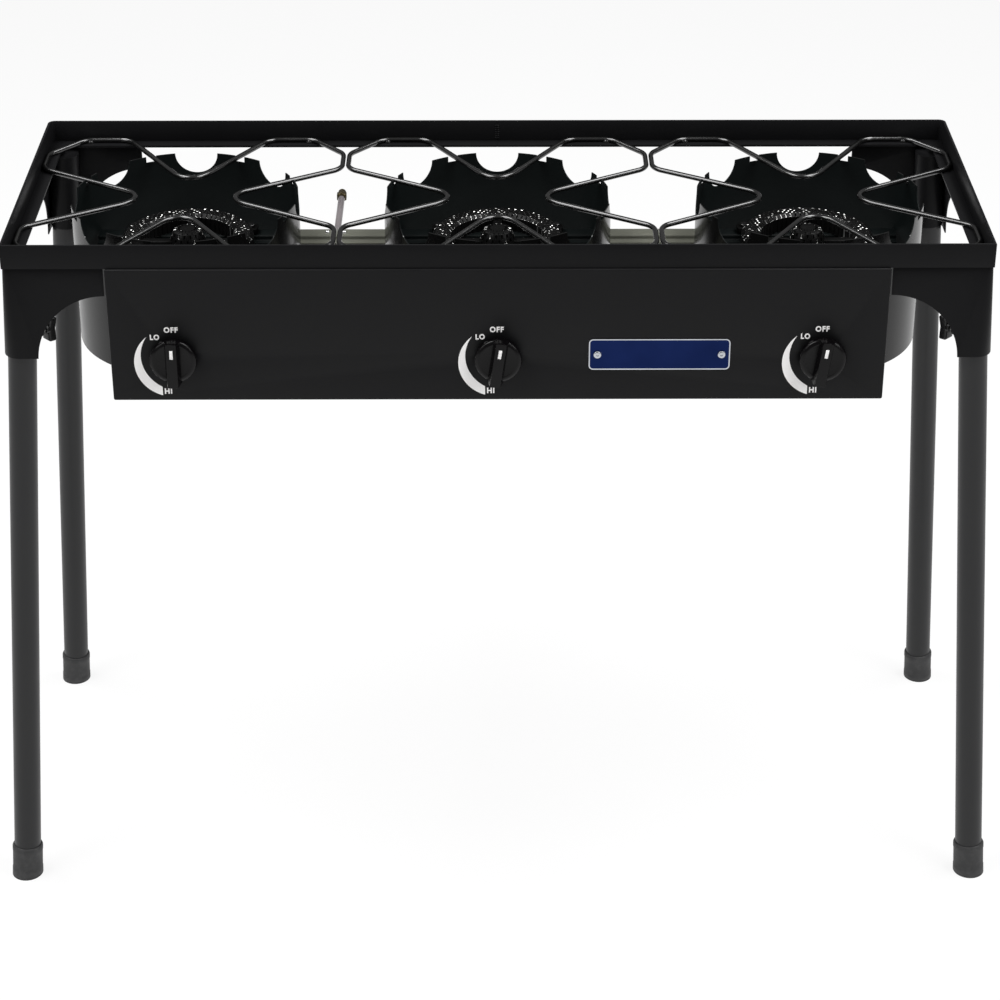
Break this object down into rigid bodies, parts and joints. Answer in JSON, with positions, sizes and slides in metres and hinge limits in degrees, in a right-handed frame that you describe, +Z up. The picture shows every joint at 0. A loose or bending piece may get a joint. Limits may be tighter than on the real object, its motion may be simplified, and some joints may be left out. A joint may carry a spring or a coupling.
{
  "type": "propane burner stand",
  "caption": "Low wide gas cooking stand: cast burners in round wind screens under wire grates, angle-steel frame, front control panel, splayed screw-clamped tube legs.",
  "frame": {"origin": "on the floor under the middle of the frame", "axes": "+X to the right along the frame, +Y to the back, away from the knobs, +Z up"},
  "size_m": [1.181, 0.461, 0.82],
  "materials": {
    "frame_paint": "satin black powder coat",
    "panel_paint": "satin black powder coat",
    "leg_paint": "satin black powder coat",
    "rubber": "matt moulded rubber",
    "clamp_plastic": "black moulded head on a steel screw",
    "screen_paint": "satin black heat-proof paint",
    "wire_enamel": "gloss black enamel",
    "cast_iron": "as cast, black",
    "valve_brass": "machined",
    "knob_plastic": "gloss black moulding",
    "zinc_steel": "zinc plated",
    "rail_paint": "satin dark grey"
  },
  "bodies": {
    "stand": {"rim_left": "frame_paint", "rim_right": "frame_paint", "rim_front": "frame_paint", "bracket_front_left": "frame_paint", "socket_front_left": "frame_paint", "bracket_front_right": "frame_paint", "socket_front_right": "frame_paint", "bracket_back_left": "frame_paint", "socket_back_left": "frame_paint", "bracket_back_right": "frame_paint", "socket_back_right": "frame_paint", "control_panel": "panel_paint", "screen_left": "screen_paint", "grate_left": "wire_enamel", "burner_left": "cast_iron", "screen_bracket_left": "screen_paint", "valve_body_left": "valve_brass", "screen_middle": "screen_paint", "grate_middle": "wire_enamel", "burner_middle": "cast_iron", "screen_bracket_middle": "screen_paint", "valve_body_middle": "valve_brass", "screen_right": "screen_paint", "grate_right": "wire_enamel", "burner_right": "cast_iron", "screen_bracket_right": "screen_paint", "valve_body_right": "valve_brass", "burner_rail_front": "rail_paint", "burner_rail_back": "rail_paint", "manifold": "rail_paint", "inlet_pipe": "zinc_steel", "inlet_fitting": "valve_brass", "pipe_clip": "zinc_steel", "jets": "valve_brass", "burner_bolts": "zinc_steel", "panel_screws": "zinc_steel", "screen_screws": "zinc_steel", "clip_screws": "zinc_steel", "grate_screws": "zinc_steel"},
    "leg_front_left": {"leg_front_left": "leg_paint", "foot_front_left": "rubber"},
    "leg_front_right": {"leg_front_right": "leg_paint", "foot_front_right": "rubber"},
    "leg_back_left": {"leg_back_left": "leg_paint", "foot_back_left": "rubber"},
    "leg_back_right": {"leg_back_right": "leg_paint", "foot_back_right": "rubber"},
    "clamp_front_left": {"clamp_screw_front_left": "clamp_plastic"},
    "clamp_front_right": {"clamp_screw_front_right": "clamp_plastic"},
    "clamp_back_left": {"clamp_screw_back_left": "clamp_plastic"},
    "clamp_back_right": {"clamp_screw_back_right": "clamp_plastic"},
    "knob_left": {"knob_left": "knob_plastic", "valve_stem_left": "valve_brass"},
    "knob_middle": {"knob_middle": "knob_plastic", "valve_stem_middle": "valve_brass"},
    "knob_right": {"knob_right": "knob_plastic", "valve_stem_right": "valve_brass"},
    "shutter_left": {"air_shutter_left": "zinc_steel"},
    "shutter_middle": {"air_shutter_middle": "zinc_steel"},
    "shutter_right": {"air_shutter_right": "zinc_steel"}
  },
  "joints": [
    {"name": "leg_front_left_slide", "type": "slide", "parent": "stand", "child": "leg_front_left", "axis": [-0.0644, -0.0644, -0.9958], "range_m": [0, 0.09]},
    {"name": "leg_front_right_slide", "type": "slide", "parent": "stand", "child": "leg_front_right", "axis": [0.0644, -0.0644, -0.9958], "range_m": [0, 0.09]},
    {"name": "leg_back_left_slide", "type": "slide", "parent": "stand", "child": "leg_back_left", "axis": [-0.0644, 0.0644, -0.9958], "range_m": [0, 0.09]},
    {"name": "leg_back_right_slide", "type": "slide", "parent": "stand", "child": "leg_back_right", "axis": [0.0644, 0.0644, -0.9958], "range_m": [0, 0.09]},
    {"name": "clamp_front_left_turn", "type": "hinge", "parent": "stand", "child": "clamp_front_left", "pos_m": [-0.50112, -0.14112, 0.70072], "axis": [0.7042, 0.7042, -0.0911], "range_deg": [0, 720]},
    {"name": "clamp_front_right_turn", "type": "hinge", "parent": "stand", "child": "clamp_front_right", "pos_m": [0.50112, -0.14112, 0.70072], "axis": [-0.7042, 0.7042, -0.0911], "range_deg": [0, 720]},
    {"name": "clamp_back_left_turn", "type": "hinge", "parent": "stand", "child": "clamp_back_left", "pos_m": [-0.50112, 0.14112, 0.70072], "axis": [0.7042, -0.7042, -0.0911], "range_deg": [0, 720]},
    {"name": "clamp_back_right_turn", "type": "hinge", "parent": "stand", "child": "clamp_back_right", "pos_m": [0.50112, 0.14112, 0.70072], "axis": [-0.7042, -0.7042, -0.0911], "range_deg": [0, 720]},
    {"name": "knob_left_turn", "type": "hinge", "parent": "stand", "child": "knob_left", "pos_m": [-0.358, -0.19, 0.685], "axis": [0, -1, 0], "range_deg": [0, 180]},
    {"name": "knob_middle_turn", "type": "hinge", "parent": "stand", "child": "knob_middle", "pos_m": [0, -0.19, 0.685], "axis": [0, -1, 0], "range_deg": [0, 180]},
    {"name": "knob_right_turn", "type": "hinge", "parent": "stand", "child": "knob_right", "pos_m": [0.358, -0.19, 0.685], "axis": [0, -1, 0], "range_deg": [0, 180]},
    {"name": "shutter_left_turn", "type": "hinge", "parent": "stand", "child": "shutter_left", "pos_m": [-0.358, -0.147, 0.685], "axis": [0, -1, 0], "range_deg": [0, 90]},
    {"name": "shutter_middle_turn", "type": "hinge", "parent": "stand", "child": "shutter_middle", "pos_m": [0, -0.147, 0.685], "axis": [0, -1, 0], "range_deg": [0, 90]},
    {"name": "shutter_right_turn", "type": "hinge", "parent": "stand", "child": "shutter_right", "pos_m": [0.358, -0.147, 0.685], "axis": [0, -1, 0], "range_deg": [0, 90]}
  ]
}
